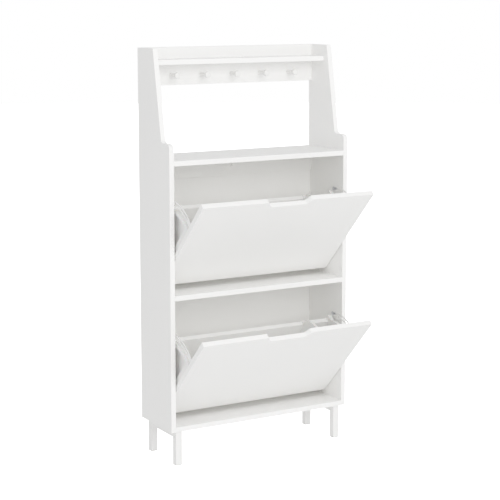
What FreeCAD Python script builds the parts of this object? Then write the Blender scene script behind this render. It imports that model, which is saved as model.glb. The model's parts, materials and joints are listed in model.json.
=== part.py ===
"""Tall narrow shoe cabinet with a key-hook hutch and two tilting shoe bins.

Frame: +Z up, front facing -Y, origin on the floor at the middle of the whole
object's box with both bins open, which is the rest pose.  Inside the script a
place is written as (x from the cabinet's middle, y back from the front edges
of the side panels, z up from the floor).  Pieces of a bin are drawn shut, in
their own frame with its origin on the pivot's axis, then tilted open.
"""
import FreeCAD, Part
import math
import os

import Sketcher

Vector = FreeCAD.Vector
Rotation = FreeCAD.Rotation
Placement = FreeCAD.Placement

DIMENSIONS = {
    # overall size and the carcass
    "width": 600,
    "depth": 195,
    "height": 1200,
    "board": 15,
    "leg_height": 102,
    "bay_height": 371,
    "edge_round": 0.8,
    # hutch
    "shoulder_rise": 47.5,
    "shoulder_setback": 49,
    "crest_setback": 97,
    "shoulder_round": 14,
    "top_shelf_setback": 113.5,
    "top_shelf_drop": 33,
    "hook_board_height": 110,
    "hook_count": 5,
    "hook_pitch": 100,
    "hook_drop": 81,
    # back
    "rail_height": 60,
    "wall_hole_radius": 4,
    "back_thick": 3,
    "back_inset": 7,
    "groove_depth": 5,
    "groove_play": 0.2,
    # leg frames
    "tube": 20,
    "tube_wall": 1.5,
    "leg_side_inset": 18,
    "leg_end_inset": 8,
    "foot_flange": 2,
    "foot_plug": 14,
    "foot_play": 0.2,
    # flap and its pivot
    "flap_thick": 15,
    "flap_side_gap": 2,
    "flap_bottom_gap": 6,
    "flap_top_gap": 4,
    "pivot_inset": 32,
    "pivot_rise": 112,
    "open_angle": 44.5,
    "grip_width": 120,
    "grip_flare": 12,
    "grip_depth": 20,
    "grip_round": 9,
    # bin plates and boards
    "plate_gap": 5,
    "plate_thick": 12,
    "plate_web": 3,
    "plate_radius": 129,
    "plate_band": 11,
    "plate_front_band": 17,
    "plate_foot": 104,
    "recess_clearance": 2,
    "recess_round": 6,
    "bin_depth_low": 79,
    "bin_depth_high": 131,
    "horn_rise": 88,
    "horn_width": 22,
    "bin_board": 12,
    "bin_back_top": 74,
    "bin_back_lap": 2,
    "flange_thick": 4,
    "flange_width": 18,
    "divider_thick": 8,
    "divider_offset": 181.5,
    "divider_radius": 140,
    "divider_play": 0.5,
    # pivot hardware
    "pin_radius": 4,
    "pin_bite": 10,
    "pin_fit": 0.05,
    "collar_radius": 7,
    "collar_thick": 1.5,
    "bush_wall": 2,
    "hub_radius": 12,
    "hub_play": 0.5,
    # slotted stays
    "stay_radius": 150,
    "stay_half_width": 6.5,
    "stay_thick": 2,
    "stay_offset": 4,
    "stay_tab_rise": 36,
    "stay_tab_width": 18,
    "stud_radius": 3,
    "stud_head_radius": 5.5,
    "stud_head": 2.2,
    "stud_play": 0.4,
    "stud_inset": 41,
    # hooks
    "hook_reach": 45,
    "hook_stem_radius": 5.5,
    "hook_knob_radius": 9.5,
    "hook_knob_thick": 9,
    # fastenings
    "screw_radius": 2,
    "screw_head_radius": 4,
    "screw_head": 2.4,
    "screw_bite": 11,
    "cam_radius": 7.5,
    "cam_depth": 12,
    "cam_setback": 34,
    "bolt_radius": 3,
    "bolt_bite": 11,
    "dowel_radius": 4,
    "dowel_bite": 10,
    "dowel_length": 28,
    "joint_inset": 42,
    "dowel_offset": 30,
    "leg_screw_offset": 6.75,
    "hole_play": 0.1,
}

BINS = ("lower", "upper")
SIDES = (("left", -1), ("right", 1))

TOUCHING = 1e-3            # mm, how near counts as the same place
OVERSHOOT = 1              # mm or degrees that a tool passes the face it cuts to
TOP_BOLT_SHARE = 0.2256    # of the top shelf's depth, from its front edge
TOP_DOWEL_SHARE = 0.6767
FLOOR_SCREW_SHARES = (0.25, 0.75)    # of the bin floor's depth
TAB_SCREW_SHARES = (0.5, 0.8)        # of the stay tab's height
FLANGE_SHARE = 0.9                   # of the plate's radius that its flange reaches

doc = FreeCAD.newDocument("shoe_cabinet")
sheet = doc.addObject("Spreadsheet::Sheet", "Dims")
for row, (alias, value) in enumerate(DIMENSIONS.items(), start=1):
    sheet.set(f"A{row}", alias)
    sheet.set(f"B{row}", str(value))
    sheet.setAlias(f"B{row}", alias)
doc.recompute()


def size(alias):
    """The sheet's value of one dimension, in millimetres or degrees."""
    return float(getattr(sheet, alias))


# --------------------------------------------------------------------------
# Places that several pieces share, as expressions on the sheet
# --------------------------------------------------------------------------
HALF_WIDTH = "Dims.width / 2"
INNER_X = "(Dims.width / 2 - Dims.board)"
INNER_WIDTH = "(Dims.width - 2 * Dims.board)"
FLAP_HEIGHT = "(Dims.bay_height - Dims.flap_bottom_gap - Dims.flap_top_gap)"
FLAP_OVER_PIVOT = f"({FLAP_HEIGHT} - Dims.pivot_rise)"
REACH = (f"(Dims.pivot_inset * (cos(Dims.open_angle * 1 deg) - 1)"
         f" + {FLAP_OVER_PIVOT} * sin(Dims.open_angle * 1 deg))")
FRONT = f"({REACH} - Dims.depth) / 2"
BOTTOM_Z = "Dims.leg_height"
MIDDLE_Z = "(Dims.leg_height + Dims.board + Dims.bay_height)"
MAIN_Z = "(Dims.leg_height + 2 * (Dims.board + Dims.bay_height))"
TOP_SHELF_Z = "(Dims.height - Dims.top_shelf_drop - Dims.board)"
BACK_FACE = "(Dims.depth - Dims.board)"
PANEL_FRONT = "(Dims.depth - Dims.back_inset - Dims.back_thick)"
FLAP_BACK = "(Dims.flap_thick - Dims.pivot_inset)"
PLATE_X = "(Dims.width / 2 - Dims.board - Dims.plate_gap)"
BIN_X = "(Dims.width / 2 - Dims.board - Dims.plate_gap - Dims.plate_thick)"
BIN_LOW = f"({FLAP_BACK} + Dims.bin_depth_low)"
BIN_HIGH = f"({FLAP_BACK} + Dims.bin_depth_high)"
BIN_LEAN = f"(({BIN_HIGH} - {BIN_LOW}) / (Dims.bin_back_top + Dims.plate_foot))"

open_angle = size("open_angle")


def pivot_z(index):
    """Height of a bin's pivot axis, as an expression; index 0 is the lower bin."""
    return (f"(Dims.leg_height + Dims.board + Dims.flap_bottom_gap + Dims.pivot_rise"
            f" + {index} * (Dims.board + Dims.bay_height))")


# --------------------------------------------------------------------------
# Small makers
# --------------------------------------------------------------------------
def bind(obj, **expressions):
    """Bind each property to an expression on the sheet."""
    for prop, expression in expressions.items():
        obj.setExpression(prop, expression)
    return obj


def put(obj, x, y, z):
    """Bind an object's place, y counted back from the cabinet's front plane."""
    obj.setExpression("Placement.Base.x", x)
    obj.setExpression("Placement.Base.y", f"{FRONT} + {y}")
    obj.setExpression("Placement.Base.z", z)
    return obj


def put_local(obj, x, y, z):
    """Bind an object's place in a bin's own frame."""
    obj.setExpression("Placement.Base.x", x)
    obj.setExpression("Placement.Base.y", y)
    obj.setExpression("Placement.Base.z", z)
    return obj


def block(name, length, width, height):
    """A plain block along X, Y and Z."""
    return bind(doc.addObject("Part::Box", name), Length=length, Width=width, Height=height)


def rod(name, radius, length, axis=Vector(1, 0, 0)):
    """A cylinder that starts at its own origin and runs along axis."""
    obj = bind(doc.addObject("Part::Cylinder", name), Radius=radius, Height=length)
    obj.Placement = Placement(Vector(), Rotation(Vector(0, 0, 1), axis))
    return obj


def cone(name, base_radius, tip_radius, length, axis):
    """A cone frustum that starts at its own origin and runs along axis."""
    obj = bind(doc.addObject("Part::Cone", name),
               Radius1=base_radius, Radius2=tip_radius, Height=length)
    obj.Placement = Placement(Vector(), Rotation(Vector(0, 0, 1), axis))
    return obj


def join(name, pieces):
    """One object from several; pieces that don't touch stay separate solids."""
    obj = doc.addObject("Part::MultiFuse", name)
    obj.Shapes = pieces
    obj.Refine = True
    return obj


def cut(name, base, tools):
    """base with every tool taken away."""
    obj = doc.addObject("Part::Cut", name)
    obj.Base = base
    obj.Tool = tools[0] if len(tools) == 1 else join(f"{name}_tools", tools)
    obj.Refine = True
    return obj


def common(name, first, second):
    """What two objects share."""
    obj = doc.addObject("Part::Common", name)
    obj.Base = first
    obj.Tool = second
    return obj


def soften(name, base, radius, keep):
    """base with a small round on every edge that keep(edge) picks."""
    doc.recompute()
    obj = doc.addObject("Part::Fillet", name)
    obj.Base = base
    obj.Edges = [(number, radius, radius)
                 for number, edge in enumerate(base.Shape.Edges, start=1) if keep(edge)]
    return obj


def outline(name, corners, thickness, plane_role="YZ_Plane"):
    """A body padded from a closed outline of (across, up) expressions.

    On YZ_Plane across is back along +Y and the pad runs along +X; on XZ_Plane
    across is along +X and the pad runs forwards, along -Y.
    """
    body = doc.addObject("PartDesign::Body", name)
    sketch = body.newObject("Sketcher::SketchObject", f"{name}_outline")
    plane = next(o for o in body.Origin.OriginFeatures if o.Role == plane_role)
    sketch.AttachmentSupport = [(plane, "")]
    sketch.MapMode = "FlatFace"
    points = [Vector(evaluate(a), evaluate(b), 0) for a, b in corners]
    count = len(points)
    for i in range(count):
        sketch.addGeometry(Part.LineSegment(points[i], points[(i + 1) % count]), False)
    for i in range(count):
        sketch.addConstraint(Sketcher.Constraint("Coincident", i, 2, (i + 1) % count, 1))
    for i, (back, up) in enumerate(corners):
        for kind, value, expression in (("DistanceX", points[i].x, back),
                                        ("DistanceY", points[i].y, up)):
            number = sketch.addConstraint(Sketcher.Constraint(kind, -1, 1, i, 1, value))
            sketch.setExpression(f"Constraints[{number}]", expression)
    pad = body.newObject("PartDesign::Pad", f"{name}_pad")
    pad.Profile = sketch
    pad.setExpression("Length", thickness)
    body.Tip = pad
    sketch.Visibility = False
    return body


def evaluate(expression):
    """The number that an expression on the sheet comes to."""
    result = sheet.evalExpression(expression)
    return float(getattr(result, "Value", result))


finished = {}


def finish(name, obj):
    """Name a sub-part and keep it for export."""
    obj.Label = name
    finished[name] = obj
    return obj


def finish_group(name, pieces):
    """Name a group of identical loose pieces and keep it for export."""
    obj = doc.addObject("Part::Compound", f"{name}_group")
    obj.Links = pieces
    return finish(name, obj)


def tilt_open(obj, index):
    """Turn a bin's piece from shut to open and set it on its pivot."""
    obj.Placement = Placement(Vector(), Rotation(Vector(1, 0, 0), open_angle))
    return put(obj, "0", "Dims.pivot_inset", pivot_z(index))


def along(side):
    """Unit vector from the cabinet's middle out to a side."""
    return Vector(side, 0, 0)


def signed(side, expression):
    """The expression on the right side, its negative on the left."""
    return expression if side > 0 else f"-({expression})"


def perimeter(edge):
    """True for an edge that lies in one plane across X."""
    return edge.BoundBox.XLength < TOUCHING


# --------------------------------------------------------------------------
# Where the cam bolts and dowels join the boards to the side panels
# --------------------------------------------------------------------------
def board_joints():
    """(kind, y, z, cam z or y) of every joint, the same at both side panels."""
    joints = []
    for low in (BOTTOM_Z, MIDDLE_Z, MAIN_Z):
        middle = f"{low} + Dims.board / 2"
        for y in ("Dims.joint_inset", "Dims.depth - Dims.joint_inset - Dims.board"):
            joints.append(("bolt", y, middle, low))
        for y in ("Dims.joint_inset + Dims.dowel_offset",
                  "Dims.depth - Dims.joint_inset - Dims.board - Dims.dowel_offset"):
            joints.append(("dowel", y, middle, None))
    shelf_middle = f"{TOP_SHELF_Z} + Dims.board / 2"
    shelf_depth = f"({BACK_FACE} - Dims.top_shelf_setback)"
    joints.append(("bolt", f"Dims.top_shelf_setback + {TOP_BOLT_SHARE} * {shelf_depth}",
                   shelf_middle, TOP_SHELF_Z))
    joints.append(("dowel", f"Dims.top_shelf_setback + {TOP_DOWEL_SHARE} * {shelf_depth}",
                   shelf_middle, None))
    board_middle = f"{BACK_FACE} + Dims.board / 2"
    for z in ("Dims.height - Dims.board", f"{TOP_SHELF_Z} - Dims.hook_board_height / 4"):
        joints.append(("dowel", board_middle, z, None))
    joints.append(("bolt", board_middle, f"{TOP_SHELF_Z} - Dims.hook_board_height / 8", "rear"))
    joints.append(("bolt", board_middle, f"{MAIN_Z} - Dims.rail_height / 2", "rear"))
    joints.append(("dowel", board_middle, f"{MAIN_Z} - Dims.rail_height / 5", None))
    return joints


JOINTS = board_joints()
JOINT_SIZES = {"bolt": ("Dims.bolt_radius", "Dims.bolt_bite",
                        "Dims.cam_setback - Dims.cam_radius"),
               "dowel": ("Dims.dowel_radius", "Dims.dowel_bite",
                         "Dims.dowel_length - Dims.dowel_bite")}


def joint_rods(name, side, play, wanted=("bolt", "dowel")):
    """The bolts or dowels of one side as rods, play wider all round."""
    rods = []
    for number, (kind, y, z, cam) in enumerate(JOINTS):
        if kind not in wanted:
            continue
        radius, bite, reach = JOINT_SIZES[kind]
        piece = rod(f"{name}_{kind}_{number}", f"{radius} + {play}", f"{bite} + {reach}",
                    along(-side))
        rods.append(put(piece, signed(side, f"{INNER_X} + {bite}"), y, z))
    return rods


def cam_discs(name, play):
    """The cam locks, let into a board's underside or rear face, play wider."""
    discs = []
    for side_name, side in SIDES:
        for number, (kind, y, z, cam) in enumerate(JOINTS):
            if kind != "bolt":
                continue
            axis = Vector(0, -1, 0) if cam == "rear" else Vector(0, 0, 1)
            disc = rod(f"{name}_{side_name}_{number}", f"Dims.cam_radius + {play}",
                       "Dims.cam_depth", axis)
            x = signed(side, f"{INNER_X} - Dims.cam_setback")
            if cam == "rear":
                discs.append(put(disc, x, "Dims.depth", z))
            else:
                discs.append(put(disc, x, y, cam))
    return discs


def boards_holes(name):
    """Every joint's hole, to be taken from a board."""
    tools = cam_discs(f"{name}_cam_hole", "Dims.hole_play")
    for side_name, side in SIDES:
        tools += joint_rods(f"{name}_{side_name}_hole", side, "Dims.hole_play")
    return tools


# --------------------------------------------------------------------------
# Carcass
# --------------------------------------------------------------------------
SHOULDER_Z = f"({MAIN_Z} + Dims.board + Dims.shoulder_rise)"


def bin_hardware_places():
    """(y, z) of each pivot pin and of each stay's stud on a side panel."""
    stud_back = "(Dims.stud_inset - Dims.pivot_inset)"
    stud_up = f"sqrt(Dims.stay_radius ^ 2 - {stud_back} ^ 2)"
    pins = [("Dims.pivot_inset", pivot_z(i)) for i in range(len(BINS))]
    studs = [("Dims.stud_inset", f"{pivot_z(i)} + {stud_up}") for i in range(len(BINS))]
    return pins, studs


def side_panel(name, side):
    """A side panel: tall board with a shouldered, sloping front at the hutch."""
    base = outline(f"{name}_board", [
        ("0", "Dims.leg_height"),
        ("Dims.depth", "Dims.leg_height"),
        ("Dims.depth", "Dims.height"),
        ("Dims.crest_setback", "Dims.height"),
        ("Dims.shoulder_setback", SHOULDER_Z),
        ("0", SHOULDER_Z)], "Dims.board")
    put(base, f"-({HALF_WIDTH})" if side < 0 else INNER_X, "0", "0")
    shoulder_z = evaluate(SHOULDER_Z)

    def at_shoulder(edge):
        box = edge.BoundBox
        return (box.YLength < TOUCHING and box.ZLength < TOUCHING
                and abs(box.ZMin - shoulder_z) < TOUCHING)

    shaped = soften(f"{name}_shaped", base, size("shoulder_round"), at_shoulder)
    soft = soften(f"{name}_soft", shaped, size("edge_round"), perimeter)
    groove = block(f"{name}_groove", "Dims.groove_depth",
                   "Dims.back_thick + 2 * Dims.groove_play",
                   f"{MAIN_Z} - Dims.rail_height - {BOTTOM_Z} - Dims.board"
                   " + 2 * Dims.groove_depth")
    put(groove, INNER_X if side > 0 else f"-{INNER_X} - Dims.groove_depth",
        f"{PANEL_FRONT} - Dims.groove_play", f"{BOTTOM_Z} + Dims.board - Dims.groove_depth")
    tools = [groove] + joint_rods(f"{name}_hole", side, "Dims.hole_play")
    pins, studs = bin_hardware_places()
    for kind, places in (("pin", pins), ("stud", studs)):
        for number, (y, z) in enumerate(places):
            hole = rod(f"{name}_{kind}_{number}", f"Dims.{kind}_radius + Dims.hole_play",
                       "Dims.pin_bite", along(side))
            tools.append(put(hole, signed(side, INNER_X), y, z))
    return finish(name, cut(f"{name}_cut", soft, tools))


def cross_board(name, y, z, depth, height, extra_tools=()):
    """A board that spans between the side panels, with its joint holes."""
    base = put(block(f"{name}_board", INNER_WIDTH, depth, height),
               f"-{INNER_X}", y, z)
    soft = soften(f"{name}_soft", base, size("edge_round"),
                  lambda edge: edge.BoundBox.XLength > size("board"))
    return finish(name, cut(f"{name}_cut", soft, boards_holes(name) + list(extra_tools)))


def panel_groove(name, z):
    """The groove that a thin back panel's edge stands in."""
    tool = block(name, INNER_WIDTH, "Dims.back_thick + 2 * Dims.groove_play",
                 "Dims.groove_depth")
    return put(tool, f"-{INNER_X}", f"{PANEL_FRONT} - Dims.groove_play", z)


def leg_screw_places():
    """(x, y) of the screws that hold the leg frames to the bottom board."""
    x = f"({HALF_WIDTH} - Dims.leg_side_inset - Dims.tube / 2)"
    return [(signed(side, x), y) for _, side in SIDES
            for y in ("Dims.joint_inset + Dims.leg_screw_offset",
                      "Dims.depth - Dims.joint_inset - Dims.leg_screw_offset")]


def screw(name, length, axis):
    """A wood screw: its place is under its head, its shank runs along axis."""
    shank = rod(f"{name}_shank", "Dims.screw_radius", length, axis)
    head = rod(f"{name}_head", "Dims.screw_head_radius", "Dims.screw_head", axis * -1)
    return join(name, [shank, head])


def screw_hole(name, length, axis):
    """The hole that a screw's shank needs."""
    return rod(name, "Dims.screw_radius + Dims.hole_play", length, axis)


def make_carcass():
    """Side panels, boards, rail and back panels."""
    for side_name, side in SIDES:
        side_panel(f"{side_name}_side_panel", side)
    top_groove = "{} + Dims.board - Dims.groove_depth"
    leg_holes = [put(screw_hole(f"leg_screw_hole_{i}", "Dims.board - Dims.screw_head",
                                Vector(0, 0, 1)), x, y, BOTTOM_Z)
                 for i, (x, y) in enumerate(leg_screw_places())]
    cross_board("bottom_board", "0", BOTTOM_Z, "Dims.depth", "Dims.board",
                [panel_groove("bottom_groove", top_groove.format(BOTTOM_Z))] + leg_holes)
    cross_board("middle_shelf", "0", MIDDLE_Z, "Dims.depth", "Dims.board",
                [panel_groove("middle_low_groove", MIDDLE_Z),
                 panel_groove("middle_top_groove", top_groove.format(MIDDLE_Z))])
    cross_board("main_shelf", "0", MAIN_Z, "Dims.depth", "Dims.board")
    cross_board("top_shelf", "Dims.top_shelf_setback", TOP_SHELF_Z,
                f"{BACK_FACE} - Dims.top_shelf_setback", "Dims.board")
    hook_z = "Dims.height - Dims.hook_board_height"
    cross_board("hook_board", BACK_FACE, hook_z, "Dims.board", "Dims.hook_board_height",
                hook_screw_tools())
    rail_z = f"{MAIN_Z} - Dims.rail_height"
    wall_hole = rod("wall_hole", "Dims.wall_hole_radius", "Dims.board", Vector(0, 1, 0))
    put(wall_hole, "0", BACK_FACE, f"{rail_z} + Dims.rail_height / 2")
    cross_board("back_rail", BACK_FACE, rail_z, "Dims.board", "Dims.rail_height",
                [wall_hole, panel_groove("rail_groove", rail_z)])
    lap = "(Dims.groove_depth - Dims.groove_play)"
    for name, low, high in (
            ("lower_back_panel", f"{BOTTOM_Z} + Dims.board", MIDDLE_Z),
            ("upper_back_panel", f"{MIDDLE_Z} + Dims.board", rail_z)):
        panel = block(f"{name}_sheet", f"{INNER_WIDTH} + 2 * {lap}", "Dims.back_thick",
                      f"{high} - ({low}) + 2 * {lap}")
        finish(name, put(panel, f"-{INNER_X} - {lap}", PANEL_FRONT, f"{low} - {lap}"))


# --------------------------------------------------------------------------
# Hooks
# --------------------------------------------------------------------------
HOOK_Z = "(Dims.height - Dims.hook_drop)"


def hook_x(number):
    """Across place of one hook, the row centred on the board."""
    return f"({number} - (Dims.hook_count - 1) / 2) * Dims.hook_pitch"


def hook_screw_tools():
    """Clearance holes and head pockets in the back of the hook board."""
    tools = []
    for number in range(int(size("hook_count"))):
        hole = screw_hole(f"hook_hole_{number}", "Dims.board", Vector(0, 1, 0))
        pocket = rod(f"hook_pocket_{number}", "Dims.screw_head_radius + Dims.hole_play",
                     "Dims.screw_head", Vector(0, 1, 0))
        tools.append(put(hole, hook_x(number), BACK_FACE, HOOK_Z))
        tools.append(put(pocket, hook_x(number), "Dims.depth - Dims.screw_head", HOOK_Z))
    return tools


def make_hooks():
    """Turned knobs on straight stems, each held by a screw from behind."""
    forwards = Vector(0, -1, 0)
    screws = []
    for number in range(int(size("hook_count"))):
        name = f"hook_{number + 1}"
        stem = rod(f"{name}_stem", "Dims.hook_stem_radius", "Dims.hook_reach", forwards)
        neck = cone(f"{name}_neck", "Dims.hook_stem_radius", "Dims.hook_knob_radius",
                    "Dims.hook_knob_thick / 2", forwards)
        put_local(neck, "0", "Dims.hook_knob_thick * 3 / 2 - Dims.hook_reach", "0")
        knob = rod(f"{name}_knob", "Dims.hook_knob_radius", "Dims.hook_knob_thick", forwards)
        put_local(knob, "0", "Dims.hook_knob_thick - Dims.hook_reach", "0")
        turned = join(f"{name}_turned", [stem, neck, knob])
        knob_radius, reach = size("hook_knob_radius"), size("hook_reach")

        def knob_rim(edge):
            box = edge.BoundBox
            return (box.YLength < TOUCHING and abs(box.YMin + reach) < TOUCHING
                    and box.XLength > knob_radius)

        rounded = soften(f"{name}_rounded", turned, size("hook_knob_thick") / 3, knob_rim)
        pilot = screw_hole(f"{name}_pilot", "Dims.hook_reach / 2", forwards)
        finish(name, put(cut(f"{name}_cut", rounded, [pilot]), hook_x(number), BACK_FACE, HOOK_Z))
        piece = screw(f"hook_screw_{number + 1}",
                      "Dims.board - Dims.screw_head + Dims.hook_reach / 3", forwards)
        screws.append(put(piece, hook_x(number), "Dims.depth - Dims.screw_head", HOOK_Z))
    finish_group("hook_screws", screws)


# --------------------------------------------------------------------------
# Leg frames
# --------------------------------------------------------------------------
REAR_LEG_Y = "Dims.depth - Dims.leg_end_inset - Dims.tube"


def frame_boxes(name, side, wall):
    """The front leg, rear leg and top tube of a frame, wall thinner all round."""
    across = f"Dims.tube - 2 * {wall}"
    x = signed(side, f"{HALF_WIDTH} - Dims.leg_side_inset")
    x = f"{x} - Dims.tube + {wall}" if side > 0 else f"{x} + {wall}"
    boxes = []
    for leg, y in (("front", "Dims.leg_end_inset"), ("rear", REAR_LEG_Y)):
        post = block(f"{name}_{leg}", across, across,
                     f"Dims.leg_height - Dims.foot_flange - {wall}")
        boxes.append(put(post, x, f"{y} + {wall}", "Dims.foot_flange"))
    beam = block(f"{name}_beam", across,
                 f"Dims.depth - 2 * Dims.leg_end_inset - 2 * {wall}", across)
    boxes.append(put(beam, x, f"Dims.leg_end_inset + {wall}",
                     f"Dims.leg_height - Dims.tube + {wall}"))
    return boxes


def make_leg_frames():
    """Two welded square-tube frames, their screws and their four foot caps."""
    up = Vector(0, 0, 1)
    for side_name, side in SIDES:
        name = f"{side_name}_leg_frame"
        outer = join(f"{name}_outer", frame_boxes(f"{name}_skin", side, "0"))
        hollow = join(f"{name}_hollow", frame_boxes(f"{name}_void", side, "Dims.tube_wall"))
        holes = []
        for number, (x, y) in enumerate(leg_screw_places()):
            hole = screw_hole(f"{name}_hole_{number}", "Dims.tube", up)
            holes.append(put(hole, x, y, "Dims.leg_height - Dims.tube"))
        finish(name, cut(f"{name}_cut", outer, [hollow] + holes))
        for leg, y in (("front", "Dims.leg_end_inset"), ("rear", REAR_LEG_Y)):
            cap_name = f"foot_cap_{leg}_{side_name}"
            x = f"{HALF_WIDTH} - Dims.leg_side_inset"
            x = f"{x} - Dims.tube" if side > 0 else f"-({x})"
            sole = put(block(f"{cap_name}_sole", "Dims.tube", "Dims.tube", "Dims.foot_flange"),
                       x, y, "0")
            inset = "(Dims.tube_wall + Dims.foot_play)"
            plug = block(f"{cap_name}_plug", f"Dims.tube - 2 * {inset}",
                         f"Dims.tube - 2 * {inset}", "Dims.foot_plug")
            put(plug, f"{x} + {inset}", f"{y} + {inset}", "Dims.foot_flange")
            finish(cap_name, join(f"{cap_name}_cap", [sole, plug]))
    screws = [put(screw(f"leg_screw_{i}", "Dims.tube + Dims.board - 2 * Dims.screw_head", up),
                  x, y, "Dims.leg_height - Dims.tube")
              for i, (x, y) in enumerate(leg_screw_places())]
    finish_group("leg_frame_screws", screws)


# --------------------------------------------------------------------------
# Board fastenings and bin hardware on the side panels
# --------------------------------------------------------------------------
def make_fastenings():
    """Cam locks, their bolts and the dowels, one group of each."""
    finish_group("cam_locks", cam_discs("cam_lock", "0"))
    for kind in ("bolt", "dowel"):
        rods = []
        for side_name, side in SIDES:
            rods += joint_rods(f"{kind}_{side_name}", side, "0", (kind,))
        finish_group({"bolt": "cam_bolts", "dowel": "dowels"}[kind], rods)


def make_side_hardware():
    """The pivot pins with their collars, and the headed studs of the stays."""
    pins, studs = [], []
    pin_places, stud_places = bin_hardware_places()
    reach = "Dims.plate_gap + Dims.plate_thick - Dims.plate_web - Dims.hub_play"
    stay_outer = "Dims.stay_offset + Dims.stay_thick + Dims.hub_play"
    for side_name, side in SIDES:
        inwards = along(-side)
        for number, (y, z) in enumerate(pin_places):
            name = f"pivot_pin_{side_name}_{number}"
            shank = rod(f"{name}_shank", "Dims.pin_radius", f"Dims.pin_bite + {reach}", inwards)
            put_local(shank, signed(side, "Dims.pin_bite"), "0", "0")
            collar = rod(f"{name}_collar", "Dims.collar_radius", "Dims.collar_thick", inwards)
            pins.append(put(join(name, [shank, collar]), signed(side, INNER_X), y, z))
        for number, (y, z) in enumerate(stud_places):
            name = f"stay_stud_{side_name}_{number}"
            shank = rod(f"{name}_shank", "Dims.stud_radius",
                        f"Dims.pin_bite + {stay_outer}", inwards)
            put_local(shank, signed(side, "Dims.pin_bite"), "0", "0")
            spacer = rod(f"{name}_spacer", "Dims.stud_head_radius",
                         "Dims.stay_offset - Dims.hub_play", inwards)
            head = rod(f"{name}_head", "Dims.stud_head_radius", "Dims.stud_head", inwards)
            put_local(head, signed(-side, stay_outer), "0", "0")
            studs.append(put(join(name, [shank, spacer, head]), signed(side, INNER_X), y, z))
    finish_group("pivot_pins", pins)
    finish_group("stay_studs", studs)


# --------------------------------------------------------------------------
# A tilting bin: drawn shut around its pivot, then tilted open
# --------------------------------------------------------------------------
FLOOR_TOP = "(Dims.bin_board - Dims.plate_foot)"
STAY_X = f"({INNER_X} - Dims.stay_offset)"
TAB_LOW = f"(sqrt(Dims.stay_radius ^ 2 - {FLAP_BACK} ^ 2) - Dims.stay_half_width)"
HORN_BACK = f"({BIN_HIGH} - Dims.horn_width)"


def lean_line(up, inset):
    """How far back a bin's rear edge is at a height, less an inset."""
    return f"{BIN_LOW} + {BIN_LEAN} * ({up} + Dims.plate_foot) - {inset}"


def plate_screw_places():
    """(x, up) of the screws through a plate's flange, and their number per side."""
    x = f"({BIN_X} - Dims.flange_width / 2)"
    return [(x, up) for up in ("-Dims.plate_foot * 2 / 3", "0", "Dims.plate_radius * 2 / 3")]


def tab_screw_places():
    """(x, up) of the screws through a stay's tab."""
    x = f"({STAY_X} - Dims.stay_tab_width / 2)"
    return [(x, f"{TAB_LOW} + Dims.stay_tab_rise * {share}") for share in TAB_SCREW_SHARES]


def board_screw_places():
    """(back, up) of the screws through a plate into the ends of the bin's boards."""
    half = "Dims.bin_board / 2"
    floor = [(f"{FLAP_BACK} + Dims.bin_depth_low * {share}", f"{half} - Dims.plate_foot")
             for share in FLOOR_SCREW_SHARES]
    rear = [(lean_line(up, f"(Dims.bin_back_lap + {half})"), up)
            for up in ("-Dims.plate_foot / 2", "Dims.bin_back_top / 2")]
    return floor + rear


def board_screw_holes(name, side):
    """The holes of the bin board screws, from a plate's outer face inwards."""
    holes = []
    for number, (back, up) in enumerate(board_screw_places()):
        hole = screw_hole(f"{name}_{number}", "Dims.plate_thick + Dims.screw_bite", along(-side))
        holes.append(put_local(hole, signed(side, PLATE_X), back, up))
    return holes


def flap_panel(name, index):
    """The flap: a board with a shallow finger recess in its top edge."""
    half = "(Dims.width / 2 - Dims.board - Dims.flap_side_gap)"
    low, top = "-Dims.pivot_rise", FLAP_OVER_PIVOT
    grip, wide = "Dims.grip_width / 2", "(Dims.grip_width / 2 + Dims.grip_flare)"
    base = outline(f"{name}_board", [
        (f"-{half}", low), (half, low), (half, top), (wide, top),
        (grip, f"{top} - Dims.grip_depth"), (f"-{grip}", f"{top} - Dims.grip_depth"),
        (f"-{wide}", top), (f"-{half}", top)], "Dims.flap_thick", "XZ_Plane")
    put_local(base, "0", FLAP_BACK, "0")
    grip_low = evaluate(f"{top} - Dims.grip_depth") - OVERSHOOT
    grip_half = evaluate(wide) + OVERSHOOT

    def at_grip(edge):
        box = edge.BoundBox
        return (box.XLength < TOUCHING and box.ZLength < TOUCHING and box.ZMin > grip_low
                and abs(box.XMin) < grip_half)

    shaped = soften(f"{name}_shaped", base, size("grip_round"), at_grip)
    soft = soften(f"{name}_soft", shaped, size("edge_round"),
                  lambda edge: edge.BoundBox.YLength < TOUCHING)
    holes = []
    forwards = Vector(0, -1, 0)
    for side_name, side in SIDES:
        for number, (x, up) in enumerate(plate_screw_places() + tab_screw_places()):
            hole = screw_hole(f"{name}_{side_name}_{number}", "Dims.screw_bite", forwards)
            holes.append(put_local(hole, signed(side, x), FLAP_BACK, up))
    finish(name, tilt_open(cut(f"{name}_cut", soft, holes), index))


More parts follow.
